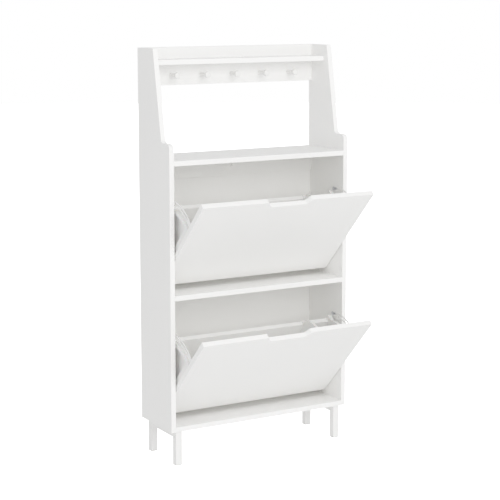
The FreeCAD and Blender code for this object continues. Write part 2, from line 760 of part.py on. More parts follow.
def plate_recess(name, side, depth):
    """The hollow in a bin plate's outer face, clear of the pivot hub."""
    low = "Dims.bin_board + Dims.recess_clearance - Dims.plate_foot"
    front = f"({FLAP_BACK} + Dims.plate_front_band)"
    base = outline(f"{name}_area", [
        (front, low),
        (lean_line(low, "Dims.bin_board"), low),
        (f"{BIN_HIGH} - Dims.bin_board", "Dims.bin_back_top"),
        (f"{BIN_HIGH} - Dims.bin_board", "Dims.plate_radius"),
        (front, "Dims.plate_radius")], depth)
    limit = rod(f"{name}_limit", "Dims.plate_radius - Dims.plate_band", depth)
    hub = rod(f"{name}_hub", "Dims.hub_radius", depth)
    shape = cut(f"{name}_ring", common(f"{name}_round", base, limit), [hub])
    front_plane, hub_radius = evaluate(front), size("hub_radius")

    def at_front_corner(edge):
        box = edge.BoundBox
        return (box.YLength < TOUCHING and box.ZLength < TOUCHING
                and abs(box.YMin - front_plane) < TOUCHING
                and abs(box.ZMin) > hub_radius + OVERSHOOT)

    rounded = soften(f"{name}_rounded", shape, size("recess_round"), at_front_corner)
    return put_local(rounded, f"{PLATE_X} - {depth}" if side > 0 else f"-{PLATE_X}", "0", "0")


def bin_plate(name, side, index):
    """A bin's end plate: quadrant with a stop horn, a recess and the pivot hub."""
    inner = BIN_X if side > 0 else f"-{PLATE_X}"
    outer_face = signed(side, PLATE_X)
    quadrant = outline(f"{name}_quadrant", [
        (FLAP_BACK, "-Dims.plate_foot"), (BIN_LOW, "-Dims.plate_foot"),
        (BIN_HIGH, "Dims.bin_back_top"), (BIN_HIGH, f"Dims.plate_radius + {OVERSHOOT}"),
        (FLAP_BACK, f"Dims.plate_radius + {OVERSHOOT}")], "Dims.plate_thick")
    put_local(quadrant, inner, "0", "0")
    round_limit = put_local(rod(f"{name}_limit", "Dims.plate_radius", "Dims.plate_thick"),
                            inner, "0", "0")
    horn = outline(f"{name}_horn", [
        (HORN_BACK, "0"), (lean_line("0", "0"), "0"), (BIN_HIGH, "Dims.bin_back_top"),
        (BIN_HIGH, "Dims.horn_rise"),
        (HORN_BACK, f"sqrt(Dims.plate_radius ^ 2 - {HORN_BACK} ^ 2)")], "Dims.plate_thick")
    put_local(horn, inner, "0", "0")
    hub_length = "(Dims.plate_gap - Dims.collar_thick - Dims.hub_play + Dims.plate_thick)"
    hub = rod(f"{name}_hub", "Dims.hub_radius", hub_length)
    put_local(hub, BIN_X if side > 0 else f"-{BIN_X} - {hub_length}", "0", "0")
    flange = block(f"{name}_flange", "Dims.flange_width", "Dims.flange_thick",
                   f"Dims.plate_radius * {FLANGE_SHARE} - {FLOOR_TOP} - Dims.divider_play")
    put_local(flange, f"{BIN_X} - Dims.flange_width" if side > 0 else f"-{BIN_X}",
              FLAP_BACK, f"{FLOOR_TOP} + Dims.divider_play")
    body = join(f"{name}_body", [common(f"{name}_round", quadrant, round_limit),
                                 horn, hub, flange])

    depth = "(Dims.plate_thick - Dims.plate_web)"
    bore = rod(f"{name}_bore", "Dims.pin_radius + Dims.pin_fit + Dims.bush_wall",
               f"Dims.plate_gap + {depth}", along(-side))
    put_local(bore, signed(side, INNER_X), "0", "0")
    tools = [plate_recess(f"{name}_recess", side, depth), bore]
    tools += board_screw_holes(f"{name}_board_hole", side)
    for number, (x, up) in enumerate(plate_screw_places()):
        hole = screw_hole(f"{name}_flange_hole_{number}", "Dims.flange_thick", Vector(0, 1, 0))
        tools.append(put_local(hole, signed(side, x), FLAP_BACK, up))
    finish(name, tilt_open(cut(f"{name}_cut", body, tools), index))


def bin_boards(name, index):
    """The bin's floor board, leaning back board and loose divider."""
    screw_tools = {}
    for board in ("floor", "back"):
        screw_tools[board] = [hole for side_name, side in SIDES for hole in
                              board_screw_holes(f"{name}_{board}_{side_name}_hole", side)]
    floor = block(f"{name}_floor_board", f"2 * {BIN_X}",
                  "Dims.bin_depth_low - Dims.bin_back_lap", "Dims.bin_board")
    put_local(floor, f"-{BIN_X}", FLAP_BACK, "-Dims.plate_foot")
    finish(f"{name}_floor", tilt_open(cut(f"{name}_floor_cut", floor, screw_tools["floor"]), index))
    top = "Dims.bin_back_top"
    thick = "Dims.bin_back_lap + Dims.bin_board"
    back = outline(f"{name}_back_board", [
        (lean_line(FLOOR_TOP, f"({thick})"), FLOOR_TOP),
        (lean_line(FLOOR_TOP, "Dims.bin_back_lap"), FLOOR_TOP),
        (lean_line(top, "Dims.bin_back_lap"), top),
        (lean_line(top, f"({thick})"), top)], f"2 * {BIN_X}")
    put_local(back, f"-{BIN_X}", "0", "0")
    finish(f"{name}_back", tilt_open(cut(f"{name}_back_cut", back, screw_tools["back"]), index))

    play = "Dims.divider_play"
    face = f"({thick} + {play})"
    left = "Dims.divider_offset - Dims.divider_thick / 2"
    web = outline(f"{name}_divider_web", [
        (f"{FLAP_BACK} + {play}", f"{FLOOR_TOP} + {play}"),
        (lean_line(f"{FLOOR_TOP} + {play}", face), f"{FLOOR_TOP} + {play}"),
        (lean_line(top, face), top),
        (lean_line(top, face), "Dims.divider_radius"),
        (f"{FLAP_BACK} + {play}", "Dims.divider_radius")], "Dims.divider_thick")
    limit = rod(f"{name}_divider_limit", "Dims.divider_radius", "Dims.divider_thick")
    lip = block(f"{name}_divider_lip", "Dims.divider_thick",
                "Dims.bin_board + Dims.flange_thick", "Dims.flange_thick")
    put_local(web, left, "0", "0")
    put_local(limit, left, "0", "0")
    put_local(lip, left, lean_line(top, f"({thick} + Dims.flange_thick)"), f"{top} + {play}")
    divider = join(f"{name}_divider_piece",
                   [common(f"{name}_divider_round", web, limit), lip])
    finish(f"{name}_divider", tilt_open(divider, index))


def sector(name, radius, start, sweep):
    """A pie slice about the pivot, as thick as a stay; angles run up from the rear."""
    obj = bind(doc.addObject("Part::Cylinder", name), Radius=radius,
               Height="Dims.stay_thick", Angle=f"({sweep}) * 1 deg")
    turned = Rotation(Vector(0, 1, 0), Vector(0, 0, 1), Vector(1, 0, 0), "ZXY")
    obj.Placement = Placement(Vector(), turned.multiply(Rotation(Vector(0, 0, 1), start)))
    return obj


def stay(name, side, index):
    """A slotted quadrant: its slot runs on the side panel's stud and ends the travel."""
    radius = size("stay_radius")
    stud_angle = math.degrees(math.acos((size("stud_inset") - size("pivot_inset")) / radius))
    slot_start = stud_angle - open_angle
    flap_back = size("flap_thick") - size("pivot_inset")
    root = math.degrees(math.acos(flap_back / radius)) + OVERSHOOT
    x = f"{STAY_X} - Dims.stay_thick" if side > 0 else f"-{STAY_X}"

    def ring(label, half_width, start, end):
        """A flat ring segment of the stay's radius, with rounded free ends."""
        outer = sector(f"{label}_outer", f"Dims.stay_radius + {half_width}", start, end - start)
        inner = rod(f"{label}_inner", f"Dims.stay_radius - {half_width}", "Dims.stay_thick")
        ends = []
        for number, angle in enumerate((start, end)):
            cap = rod(f"{label}_end_{number}", half_width, "Dims.stay_thick")
            turn = math.radians(angle)
            ends.append(put_local(cap, "0", f"Dims.stay_radius * {math.cos(turn)}",
                                  f"Dims.stay_radius * {math.sin(turn)}"))
        return join(label, [cut(f"{label}_arc", outer, [inner])] + ends)

    bar = ring(f"{name}_bar", "Dims.stay_half_width", slot_start, root)
    slot = ring(f"{name}_slot", "(Dims.stud_radius + Dims.stud_play)", slot_start, stud_angle)
    put_local(bar, x, "0", "0")
    put_local(slot, x, "0", "0")
    trim = block(f"{name}_trim", "Dims.stay_thick", "Dims.depth", "Dims.stay_radius * 2")
    put_local(trim, x, FLAP_BACK, "0")
    tab = block(f"{name}_tab", "Dims.stay_tab_width", "Dims.stay_thick", "Dims.stay_tab_rise")
    put_local(tab, f"{STAY_X} - Dims.stay_tab_width" if side > 0 else f"-{STAY_X}",
              FLAP_BACK, TAB_LOW)
    body = join(f"{name}_body", [common(f"{name}_trimmed", bar, trim), tab])
    tools = [slot]
    for number, (hole_x, up) in enumerate(tab_screw_places()):
        hole = screw_hole(f"{name}_hole_{number}", "Dims.stay_thick", Vector(0, 1, 0))
        tools.append(put_local(hole, signed(side, hole_x), FLAP_BACK, up))
    finish(name, tilt_open(cut(f"{name}_cut", body, tools), index))


def bin_small_parts(name, index):
    """The bin's bushes and screws, each kind one group."""
    bushes, flange_screws, tab_screws, board_screws = [], [], [], []
    bore = "Dims.pin_radius + Dims.pin_fit"
    length = "Dims.plate_gap + Dims.plate_thick - Dims.plate_web - Dims.collar_thick" \
        " - Dims.hub_play"
    forwards = Vector(0, -1, 0)
    for side_name, side in SIDES:
        label = f"{name}_{side_name}"
        sleeve = rod(f"{label}_sleeve", f"{bore} + Dims.bush_wall", length, along(-side))
        hole = rod(f"{label}_sleeve_bore", bore, length, along(-side))
        start = signed(side, f"{INNER_X} - Dims.collar_thick - Dims.hub_play")
        put_local(sleeve, start, "0", "0")
        put_local(hole, start, "0", "0")
        bushes.append(cut(f"{label}_bush", sleeve, [hole]))
        for number, (x, up) in enumerate(plate_screw_places()):
            piece = screw(f"{label}_flange_screw_{number}",
                          "Dims.flange_thick + Dims.screw_bite", forwards)
            flange_screws.append(put_local(piece, signed(side, x),
                                           f"{FLAP_BACK} + Dims.flange_thick", up))
        for number, (x, up) in enumerate(tab_screw_places()):
            piece = screw(f"{label}_tab_screw_{number}",
                          "Dims.stay_thick + Dims.screw_bite", forwards)
            tab_screws.append(put_local(piece, signed(side, x),
                                        f"{FLAP_BACK} + Dims.stay_thick", up))
        for number, (back, up) in enumerate(board_screw_places()):
            piece = screw(f"{label}_board_screw_{number}",
                          "Dims.plate_thick + Dims.screw_bite", along(-side))
            board_screws.append(put_local(piece, signed(side, PLATE_X), back, up))
    for kind, pieces in (("pivot_bushes", bushes), ("plate_screws", flange_screws),
                         ("stay_screws", tab_screws), ("board_screws", board_screws)):
        tilt_open(finish_group(f"{name}_{kind}", pieces), index)


def make_bin(index):
    """One tilting bin with everything that moves with it."""
    name = BINS[index]
    flap_panel(f"{name}_flap_panel", index)
    for side_name, side in SIDES:
        bin_plate(f"{name}_{side_name}_bin_plate", side, index)
        stay(f"{name}_{side_name}_stay", side, index)
    bin_boards(f"{name}_bin", index)
    bin_small_parts(f"{name}_bin", index)


# --------------------------------------------------------------------------
# Build, check and write
# --------------------------------------------------------------------------
def check_and_export():
    """Refuse any failed object, then write one STEP file per sub-part."""
    doc.recompute()
    for obj in doc.Objects:
        if "Invalid" in obj.State or "Error" in obj.State:
            raise RuntimeError(f"{obj.Name} failed: {obj.State}")
    os.makedirs("parts", exist_ok=True)
    for name, obj in finished.items():
        if obj.Shape.isNull() or not obj.Shape.isValid():
            raise RuntimeError(f"{name} has no valid shape")
        obj.Shape.exportStep(f"parts/{name}.step")
        print(f"{name}: {len(obj.Shape.Solids)} solid(s), {obj.Shape.Volume / 1000:.1f} cm3")


make_carcass()
make_hooks()
make_leg_frames()
make_fastenings()
make_side_hardware()
for bin_index in range(len(BINS)):
    make_bin(bin_index)
check_and_export()
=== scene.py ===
"""A tall shoe cabinet: its finishes, its fine fittings, the studio and the camera.

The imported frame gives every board, plate and tube.  This file dresses each of
them in a procedural finish, and puts turned, threaded and recessed fittings in
the places of the frame's plain screws, cam locks and stay studs.  Lengths are
in metres, +Z is up and the cabinet's front faces -Y.
"""

import json
import logging
import math
from abc import ABC, abstractmethod
from dataclasses import dataclass, field
from enum import Enum

import bpy
import numpy as np
from mathutils import Matrix, Vector
from numpy.typing import NDArray

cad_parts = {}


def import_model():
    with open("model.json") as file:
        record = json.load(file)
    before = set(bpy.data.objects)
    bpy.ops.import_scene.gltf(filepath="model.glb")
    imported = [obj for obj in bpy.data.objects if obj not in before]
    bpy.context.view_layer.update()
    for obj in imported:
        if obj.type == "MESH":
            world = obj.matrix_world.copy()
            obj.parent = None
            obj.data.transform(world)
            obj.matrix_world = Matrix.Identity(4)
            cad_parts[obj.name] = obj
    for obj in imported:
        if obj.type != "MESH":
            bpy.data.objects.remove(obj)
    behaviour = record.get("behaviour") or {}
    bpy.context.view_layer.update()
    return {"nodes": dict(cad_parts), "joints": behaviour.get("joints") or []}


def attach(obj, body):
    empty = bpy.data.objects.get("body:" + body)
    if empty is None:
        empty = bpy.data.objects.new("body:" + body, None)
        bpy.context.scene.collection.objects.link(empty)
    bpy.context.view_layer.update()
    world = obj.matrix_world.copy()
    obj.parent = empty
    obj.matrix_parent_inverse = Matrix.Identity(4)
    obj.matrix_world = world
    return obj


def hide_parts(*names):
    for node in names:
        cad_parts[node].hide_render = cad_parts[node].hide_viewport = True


log = logging.getLogger("shoe_cabinet")

Grid = NDArray[np.float64]
Rings = NDArray[np.float64]
Indices = NDArray[np.int64]
Triple = tuple[float, float, float]
Range = tuple[float, float]

MM = 0.001
RIGHT = np.array([1.0, 0.0, 0.0])
REAR = np.array([0.0, 1.0, 0.0])
UP = np.array([0.0, 0.0, 1.0])

BINS = ("lower", "upper")
WHITE = (0.95, 0.948, 0.940)

# Where most of a noise's values lie.
NOISE_SPREAD = (0.3, 0.7)

# A colour mix is told from the node's other mixes by the number of its sockets.
MIX_SHARE, MIX_FIRST, MIX_SECOND = 0, 6, 7
MIX_COLOUR = 2

# An axis that climbs by more than this share of its length counts as upright.
STEEP = 0.9

# A pin's points beyond this share of its widest reach belong to its head.
HEAD_SHARE = 0.95

# Two points of a frame piece are one where their places agree to so many decimals.
SAME_PLACE_DECIMALS = 6


class Slot(str, Enum):
    """The record's material slots that this file dresses."""

    BOARD = "white_board"
    BACK = "back_sheet"
    LACQUER = "white_lacquer"
    STEEL = "white_steel"
    PLASTIC = "white_plastic"
    FOOT = "foot_plastic"
    NYLON = "nylon"
    ZINC_STEEL = "zinc_steel"
    SCREW = "screw_zinc"
    CAM = "cam_zinc"
    BEECH = "beech"


class Grain(Enum):
    """Which way a board's thickness runs, so that its edging can be told from its faces."""

    ACROSS = (1.0, 0.0, 0.0)
    DEEP = (0.0, 1.0, 0.0)
    UPRIGHT = (0.0, 0.0, 1.0)


# ---------------------------------------------------------------------------
# Shader sheets
# ---------------------------------------------------------------------------
class ShaderSheet:
    """One material's node tree, with short calls for adding and joining nodes."""

    def __init__(self, name: str) -> None:
        """Make an empty material with a Principled shader.

        Args:
            name: the material's name.
        """
        self.material = bpy.data.materials.new(name)
        self.material.use_nodes = True
        self.tree = self.material.node_tree
        self.shader = self.tree.nodes["Principled BSDF"]
        self.column = 0

    def add(self, kind: str, values: dict[str, object] | None = None,
            **props: object) -> bpy.types.Node:
        """Add one node.

        Args:
            kind: the node's type name, without "ShaderNode".
            values: input sockets by name and the constants they take.
            props: the node's own settings.

        Returns:
            The new node.
        """
        node = self.tree.nodes.new("ShaderNode" + kind)
        self.column += 1
        node.location = (-220 * self.column, -60 * (self.column % 5))
        for key, value in props.items():
            setattr(node, key, value)
        for key, value in (values or {}).items():
            node.inputs[key].default_value = value
        return node

    def link(self, source: bpy.types.NodeSocket, target: bpy.types.NodeSocket) -> None:
        """Join two sockets."""
        self.tree.links.new(source, target)

    def paint(self, colour: bpy.types.NodeSocket) -> None:
        """Give the shader its colour."""
        self.link(colour, self.shader.inputs["Base Color"])

    def roughen(self, roughness: bpy.types.NodeSocket) -> None:
        """Give the shader its roughness."""
        self.link(roughness, self.shader.inputs["Roughness"])

    def place(self) -> bpy.types.NodeSocket:
        """The surface's place in the part's own frame, in metres."""
        return self.add("TexCoord").outputs["Object"]

    def facing(self) -> bpy.types.NodeSocket:
        """The surface's normal in the part's own frame."""
        return self.add("TexCoord").outputs["Normal"]

    def noise(self, at: bpy.types.NodeSocket, scale: float = 1.0, detail: float = 2.0,
              rough: float = 0.5) -> bpy.types.NodeSocket:
        """Fractal noise.

        Args:
            at: the vector that places the pattern.
            scale: cells a metre.
            detail: octaves.
            rough: how much each octave keeps of the one before.

        Returns:
            The noise value, near 0.5 on average.
        """
        node = self.add("TexNoise", {"Scale": scale, "Detail": detail, "Roughness": rough})
        self.link(at, node.inputs["Vector"])
        return node.outputs["Fac"]

    def stretch(self, at: bpy.types.NodeSocket, scale: Triple) -> bpy.types.NodeSocket:
        """Scale a vector by its own amount along each axis, for grain and brushing.

        Args:
            at: the vector.
            scale: how much each of its three shares grows.

        Returns:
            The scaled vector.
        """
        node = self.add("Mapping", {"Scale": scale})
        self.link(at, node.inputs["Vector"])
        return node.outputs["Vector"]

    def span(self, value: bpy.types.NodeSocket, between: Range = NOISE_SPREAD,
             to: Range = (0.0, 1.0), smooth: bool = False) -> bpy.types.NodeSocket:
        """Carry a value from one range to another.

        Args:
            value: the value to carry over.
            between: where the first range starts and ends.
            to: what its start and its end become.
            smooth: ease in and out instead of running straight.

        Returns:
            The carried value, held inside the second range.
        """
        node = self.add("MapRange", {"From Min": between[0], "From Max": between[1],
                                     "To Min": to[0], "To Max": to[1]})
        node.interpolation_type = "SMOOTHSTEP" if smooth else "LINEAR"
        self.link(value, node.inputs["Value"])
        return node.outputs["Result"]

    def compute(self, kind: str, first: bpy.types.NodeSocket,
                second: bpy.types.NodeSocket | float) -> bpy.types.NodeSocket:
        """Take one arithmetic step.

        Args:
            kind: the step, such as MULTIPLY or SUBTRACT.
            first: the first value.
            second: the second value, as a socket or a constant.

        Returns:
            The step's result.
        """
        node = self.add("Math", operation=kind)
        self.link(first, node.inputs[0])
        if isinstance(second, float):
            node.inputs[1].default_value = second
        else:
            self.link(second, node.inputs[1])
        return node.outputs[0]

    def blend(self, share: bpy.types.NodeSocket, first: object, second: object
              ) -> bpy.types.NodeSocket:
        """Mix two colours.

        Args:
            share: how much of the second colour shows.
            first: a colour, or the socket that gives one.
            second: a colour, or the socket that gives one.

        Returns:
            The mixed colour.
        """
        node = self.add("Mix", data_type="RGBA")
        self.link(share, node.inputs[MIX_SHARE])
        for number, colour in ((MIX_FIRST, first), (MIX_SECOND, second)):
            if isinstance(colour, bpy.types.NodeSocket):
                self.link(colour, node.inputs[number])
            else:
                node.inputs[number].default_value = (*colour, 1.0)
        return node.outputs[MIX_COLOUR]

    def dot(self, vector: bpy.types.NodeSocket, along: Triple) -> bpy.types.NodeSocket:
        """Measure a vector's share along a fixed direction, without its sign.

        Args:
            vector: the vector.
            along: the direction, one unit long.

        Returns:
            The share's size.
        """
        node = self.add("VectorMath", operation="DOT_PRODUCT")
        self.link(vector, node.inputs[0])
        node.inputs[1].default_value = along
        return self.compute("ABSOLUTE", node.outputs["Value"], 0.0)

    def relief(self, height: bpy.types.NodeSocket, depth: float) -> None:
        """Raise the surface's shading by a height pattern, over any relief it already has.

        Args:
            height: the pattern, from 0 to 1.
            depth: how deep the pattern is, in metres.
        """
        node = self.add("Bump", {"Strength": 1.0, "Distance": depth})
        normal = self.shader.inputs["Normal"]
        self.link(height, node.inputs["Height"])
        if normal.links:
            self.link(normal.links[0].from_socket, node.inputs["Normal"])
        self.link(node.outputs["Normal"], normal)

    def gloss(self, **values: float) -> None:
        """Set the shader's own constants; an underscore in a name stands for a space."""
        for key, value in values.items():
            self.shader.inputs[key.replace("_", " ")].default_value = value


# ---------------------------------------------------------------------------
# Finishes
# ---------------------------------------------------------------------------
@dataclass(frozen=True)
class Finish(ABC):
    """A surface finish: knows how to write itself onto a shader sheet."""

    name: str
    colour: Triple
    roughness: float

    @abstractmethod
    def dress(self, sheet: ShaderSheet) -> None:
        """Write the finish's nodes onto a sheet."""

    def material(self) -> bpy.types.Material:
        """Find the finish's material, or make it the first time.

        Returns:
            The one material of this finish's name.
        """
        found = bpy.data.materials.get(self.name)
        if found is not None:
            return found
        sheet = ShaderSheet(self.name)
        self.dress(sheet)
        return sheet.material

    def shade(self, share: float) -> Triple:
        """The finish's colour, made lighter or darker by a share."""
        return tuple(min(1.0, channel * share) for channel in self.colour)

    def dull(self, start: float, end: float) -> Range:
        """A range of roughness, told by how far its start and end lie from the finish's own."""
        return self.roughness + start, self.roughness + end


@dataclass(frozen=True)
class FoilBoard(Finish):
    """Satin white foil on particle board, with a glossier edging strip whose colour is painted
    brighter as a highlight.
    """

    colour: Triple = WHITE
    roughness: float = 0.42
    thickness_along: Triple = Grain.DEEP.value
    # Painted highlight: how much brighter the edging's colour is painted than the faces.
    edge_highlight_gain: float = 1.02
    edging_gloss: float = 0.1

    def dress(self, sheet: ShaderSheet) -> None:
        """Faint mottling, a fine pressed texture, and edging told by the surface's direction, with
        a painted highlight on the edging.

        Args:
            sheet: the sheet that takes the nodes.
        """
        at = sheet.place()
        mottle = sheet.span(sheet.noise(at, scale=5.0, detail=3.0, rough=0.6))
        face = sheet.blend(mottle, self.shade(0.992), self.colour)
        specks = sheet.span(sheet.noise(at, scale=900.0, detail=1.0), (0.62, 0.75), to=(0.0, 0.35))
        face = sheet.blend(specks, face, self.shade(0.975))
        on_edge = sheet.span(sheet.dot(sheet.facing(), self.thickness_along), (0.35, 0.75),
                             to=(1.0, 0.0), smooth=True)
        # Painted highlight: the edging's colour is lifted above the faces' colour.
        sheet.paint(sheet.blend(on_edge, face, self.shade(self.edge_highlight_gain)))
        haze = sheet.span(sheet.noise(at, scale=14.0, detail=4.0, rough=0.65),
                          to=self.dull(-0.04, 0.05))
        edge_gloss = sheet.compute("MULTIPLY", on_edge, self.edging_gloss)
        sheet.roughen(sheet.compute("SUBTRACT", haze, edge_gloss))
        sheet.relief(sheet.noise(at, scale=420.0, detail=3.0, rough=0.6), 0.04 * MM)
        sheet.relief(sheet.noise(at, scale=9.0, detail=1.0), 0.25 * MM)
        sheet.gloss(Specular_IOR_Level=0.42, Coat_Weight=0.06, Coat_Roughness=0.25)


@dataclass(frozen=True)
class PaintedSheet(Finish):
    """Thin painted hardboard: matt, with its fibres just showing through."""

    fibre: Triple = (260.0, 260.0, 38.0)

    def dress(self, sheet: ShaderSheet) -> None:
        """Long soft fibres, a rolled paint texture and a matt sheen.

        Args:
            sheet: the sheet that takes the nodes.
        """
        at = sheet.place()
        fibres = sheet.noise(sheet.stretch(at, self.fibre), detail=4.0, rough=0.6)
        tone = sheet.span(fibres, (0.35, 0.7))
        cloud = sheet.span(sheet.noise(at, scale=7.0, detail=3.0), (0.35, 0.65))
        base = sheet.blend(tone, self.shade(0.985), self.colour)
        sheet.paint(sheet.blend(cloud, self.shade(0.99), base))
        sheet.roughen(sheet.span(fibres, to=self.dull(0.06, -0.05)))
        sheet.relief(fibres, 0.03 * MM)
        sheet.relief(sheet.noise(at, scale=650.0), 0.03 * MM)
        sheet.gloss(Specular_IOR_Level=0.35)


@dataclass(frozen=True)
class LacqueredWood(Finish):
    """White lacquer over turned wood: soft gloss, with the grain faintly telegraphed."""

    pore: Triple = (900.0, 70.0, 900.0)

    def dress(self, sheet: ShaderSheet) -> None:
        """Lengthwise pores under a clear, slightly wavy coat.

        Args:
            sheet: the sheet that takes the nodes.
        """
        at = sheet.place()
        pores = sheet.noise(sheet.stretch(at, self.pore), detail=3.0, rough=0.55)
        sheet.paint(sheet.blend(sheet.span(pores, (0.35, 0.7)), self.shade(0.97), self.colour))
        sheet.roughen(sheet.span(pores, to=self.dull(0.06, -0.04)))
        sheet.relief(pores, 0.03 * MM)
        sheet.relief(sheet.noise(at, scale=160.0, detail=1.0), 0.06 * MM)
        sheet.gloss(Specular_IOR_Level=0.5, Coat_Weight=0.35, Coat_Roughness=0.16)


@dataclass(frozen=True)
class PowderCoat(Finish):
    """White powder coat on steel tube, with its orange-peel skin."""

    cells_a_metre: float = 820.0

    def dress(self, sheet: ShaderSheet) -> None:
        """Rounded cells about a millimetre wide under a satin gloss.

        Args:
            sheet: the sheet that takes the nodes.
        """
        at = sheet.place()
        cells = sheet.add("TexVoronoi", {"Scale": self.cells_a_metre, "Smoothness": 1.0},
                          feature="SMOOTH_F1")
        sheet.link(at, cells.inputs["Vector"])
        skin = sheet.span(cells.outputs["Distance"], (0.0, 0.8), to=(1.0, 0.0))
        tone = sheet.span(sheet.noise(at, scale=25.0))
        sheet.paint(sheet.blend(tone, self.shade(0.985), self.colour))
        sheet.roughen(sheet.span(skin, (0.0, 1.0), to=self.dull(0.05, -0.05)))
        sheet.relief(skin, 0.03 * MM)
        sheet.gloss(Specular_IOR_Level=0.5, Coat_Weight=0.15, Coat_Roughness=0.3)


@dataclass(frozen=True)
class MouldedPlastic(Finish):
    """Injection-moulded plastic with a spark-etched skin and faint flow marks."""

    etch_scale: float = 1500.0
    glow: float = 0.04

    def dress(self, sheet: ShaderSheet) -> None:
        """Fine etching, slow flow marks and a little light carried inside.

        Args:
            sheet: the sheet that takes the nodes.
        """
        at = sheet.place()
        etch = sheet.noise(at, scale=self.etch_scale, rough=0.7)
        flow = sheet.add("TexWave", {"Scale": 3.0, "Distortion": 9.0, "Detail": 2.0,
                                     "Detail Scale": 1.2}, wave_type="BANDS")
        sheet.link(at, flow.inputs["Vector"])
        marks = sheet.span(flow.outputs["Fac"], (0.0, 1.0), to=(0.0, 0.6))
        sheet.paint(sheet.blend(marks, self.colour, self.shade(0.985)))
        sheet.roughen(sheet.span(etch, to=self.dull(-0.05, 0.06)))
        sheet.relief(etch, 0.02 * MM)
        sheet.gloss(Specular_IOR_Level=0.45, Subsurface_Weight=self.glow,
                    Subsurface_Scale=2.0 * MM)


@dataclass(frozen=True)
class ZincPlate(Finish):
    """Bright zinc over steel: rolled or turned marks under a thin passivated bloom."""

    streak: Triple = (90.0, 1400.0, 1400.0)
    bloom: Triple = (0.60, 0.62, 0.66)

    def dress(self, sheet: ShaderSheet) -> None:
        """Streaks along the work with roughness that follows them, and patches of bloom.

        Args:
            sheet: the sheet that takes the nodes.
        """
        at = sheet.place()
        streaks = sheet.noise(sheet.stretch(at, self.streak), detail=3.0, rough=0.6)
        patches = sheet.span(sheet.noise(at, scale=240.0, detail=3.0, rough=0.6), (0.4, 0.65),
                             to=(0.0, 0.5))
        base = sheet.blend(sheet.span(streaks), self.shade(0.9), self.colour)
        sheet.paint(sheet.blend(patches, base, self.bloom))
        sheet.roughen(sheet.span(streaks, to=self.dull(-0.07, 0.09)))
        sheet.relief(streaks, 0.02 * MM)
        sheet.gloss(Metallic=1.0, Anisotropic=0.35)


@dataclass(frozen=True)
class TurnedBeech(Finish):
    """Bare beech dowel: pale brown with short dark flecks along the grain."""

    band: Triple = (30.0, 700.0, 700.0)
    fleck: Triple = (260.0, 2600.0, 2600.0)
    fleck_colour: Triple = (0.36, 0.20, 0.10)

    def dress(self, sheet: ShaderSheet) -> None:
        """Growth bands and flecks stretched along the dowel.

        Args:
            sheet: the sheet that takes the nodes.
        """
        at = sheet.place()
        bands = sheet.noise(sheet.stretch(at, self.band), detail=3.0)
        flecks = sheet.span(sheet.noise(sheet.stretch(at, self.fleck), detail=1.0), (0.62, 0.72),
                            to=(0.0, 0.8))
        wood = sheet.blend(sheet.span(bands), self.shade(0.82), self.colour)
        sheet.paint(sheet.blend(flecks, wood, self.fleck_colour))
        sheet.roughen(sheet.span(bands, to=self.dull(0.08, -0.05)))
        sheet.relief(bands, 0.05 * MM)


class Palette:
    """Every finish of the cabinet, and which of them each frame piece wears."""

    def __init__(self, open_angle: float) -> None:
        """Choose the finishes.

        Args:
            open_angle: how far the bins lean at rest, in radians.
        """
        lean = (0.0, math.cos(open_angle), math.sin(open_angle))
        level = (0.0, -math.sin(open_angle), math.cos(open_angle))
        self.boards: dict[str, Finish] = {
            "side_panel": FoilBoard("foil_side_panel", thickness_along=Grain.ACROSS.value),
            "flap_panel": FoilBoard("foil_flap", thickness_along=lean),
            "bin_floor": FoilBoard("foil_bin_floor", thickness_along=level),
            "bin_back": FoilBoard("foil_bin_back", thickness_along=lean),
            "shelf": FoilBoard("foil_shelf", thickness_along=Grain.UPRIGHT.value),
            "bottom_board": FoilBoard("foil_shelf", thickness_along=Grain.UPRIGHT.value),
        }
        self.rail = FoilBoard("foil_rail", thickness_along=Grain.DEEP.value)
        self.by_slot: dict[Slot, Finish] = {
            Slot.BACK: PaintedSheet("painted_back_sheet", WHITE, 0.55),
            Slot.LACQUER: LacqueredWood("lacquered_hook", (0.92, 0.917, 0.905), 0.3),
            Slot.STEEL: PowderCoat("powder_coated_tube", WHITE, 0.4),
            Slot.PLASTIC: MouldedPlastic("moulded_bin_plate", (0.92, 0.918, 0.91), 0.42),
            Slot.FOOT: MouldedPlastic("moulded_foot_cap", (0.74, 0.735, 0.72), 0.5,
                                      etch_scale=900.0),
            Slot.NYLON: MouldedPlastic("nylon_bush", (0.72, 0.70, 0.64), 0.35,
                                       etch_scale=2200.0, glow=0.2),
            Slot.ZINC_STEEL: ZincPlate("zinc_plated_steel", (0.70, 0.71, 0.73), 0.32),
            Slot.SCREW: ZincPlate("zinc_plated_screw", (0.66, 0.67, 0.70), 0.28,
                                  streak=(1200.0, 1200.0, 1200.0)),
            Slot.CAM: ZincPlate("die_cast_cam", (0.52, 0.53, 0.55), 0.42,
                                streak=(700.0, 700.0, 700.0), bloom=(0.42, 0.43, 0.45)),
            Slot.BEECH: TurnedBeech("beech_dowel", (0.62, 0.44, 0.27), 0.6),
        }

    def board_finish(self, node: str) -> Finish:
        """Find the foil that suits a board, by the way its thickness runs.

        Args:
            node: the board's name, whose last words tell its kind.

        Returns:
            The board's foil, which is the rails' where no other kind fits.
        """
        for ending, finish in self.boards.items():
            if node.endswith(ending):
                return finish
        return self.rail

    def finish_of(self, node: str, slot: Slot) -> Finish:
        """The finish of a frame piece, by its name and its slot."""
        return self.board_finish(node) if slot is Slot.BOARD else self.by_slot[slot]


# ---------------------------------------------------------------------------
# Surfaces
# ---------------------------------------------------------------------------
def put(name: str, data: bpy.types.ID) -> bpy.types.Object:
    """Put new data into the scene.

    Args:
        name: the object's name.
        data: its mesh, lamp or camera.

    Returns:
        The new object.
    """
    thing = bpy.data.objects.new(name, data)
    bpy.context.scene.collection.objects.link(thing)
    return thing


